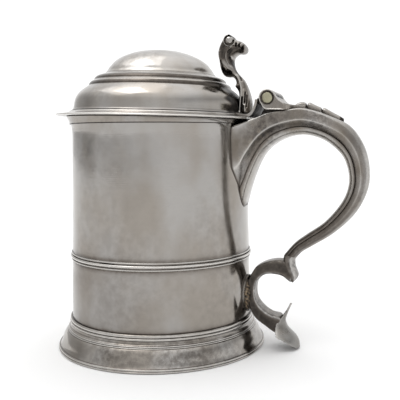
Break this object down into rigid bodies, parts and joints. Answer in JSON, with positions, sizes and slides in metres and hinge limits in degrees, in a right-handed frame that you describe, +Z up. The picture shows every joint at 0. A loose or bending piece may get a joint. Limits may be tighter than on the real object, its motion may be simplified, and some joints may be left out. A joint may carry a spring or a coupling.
{
  "type": "lidded tankard",
  "caption": "Antique silver lidded tankard with a stepped dome lid, cast scroll thumbpiece, reeded girdle and foot, and a hollow double-scroll handle with a shield end.",
  "frame": {"origin": "centre of the foot's underside, on the floor", "axes": "+Z up along the barrel, +X towards the handle, +Y along the lid's hinge pin"},
  "size_m": [0.197, 0.132, 0.1931],
  "materials": {
    "barrel_silver": "worn antique silver, soft satin",
    "lid_silver": "worn antique silver, soft satin",
    "foot_silver": "worn antique silver, darker in the grooves",
    "moulding_silver": "worn antique silver, darker in the grooves",
    "handle_silver": "worn antique silver, soft satin",
    "hinge_silver": "worn antique silver",
    "cast_silver": "cast antique silver, dark in the recesses",
    "pin_metal": "dull yellowish silver alloy",
    "solder": "dull brassy solder"
  },
  "bodies": {
    "tankard": {"barrel": "barrel_silver", "base_disc": "barrel_silver", "foot_skirt": "foot_silver", "foot_rim": "foot_silver", "foot_collar": "foot_silver", "lip_moulding": "moulding_silver", "girdle_band": "moulding_silver", "handle_back": "handle_silver", "handle_inner": "handle_silver", "handle_end_cap": "handle_silver", "lower_scroll": "handle_silver", "lower_mount_disc": "handle_silver", "lower_mount_boss": "solder", "terminal_shield": "cast_silver", "hinge_box": "hinge_silver", "hinge_pin": "pin_metal", "hinge_plug_left": "pin_metal", "hinge_plug_right": "pin_metal", "hinge_drop": "cast_silver"},
    "lid": {"lid_dome": "lid_silver", "lid_flange": "lid_silver", "lid_bezel": "lid_silver", "lid_strap": "hinge_silver", "thumbpiece": "cast_silver", "thumb_volute_left": "cast_silver", "thumb_volute_right": "cast_silver"}
  },
  "joints": [
    {"name": "lid_hinge", "type": "hinge", "parent": "tankard", "child": "lid", "pos_m": [0.0717, 0, 0.1541], "axis": [0, 1, 0], "range_deg": [0, 105]}
  ]
}
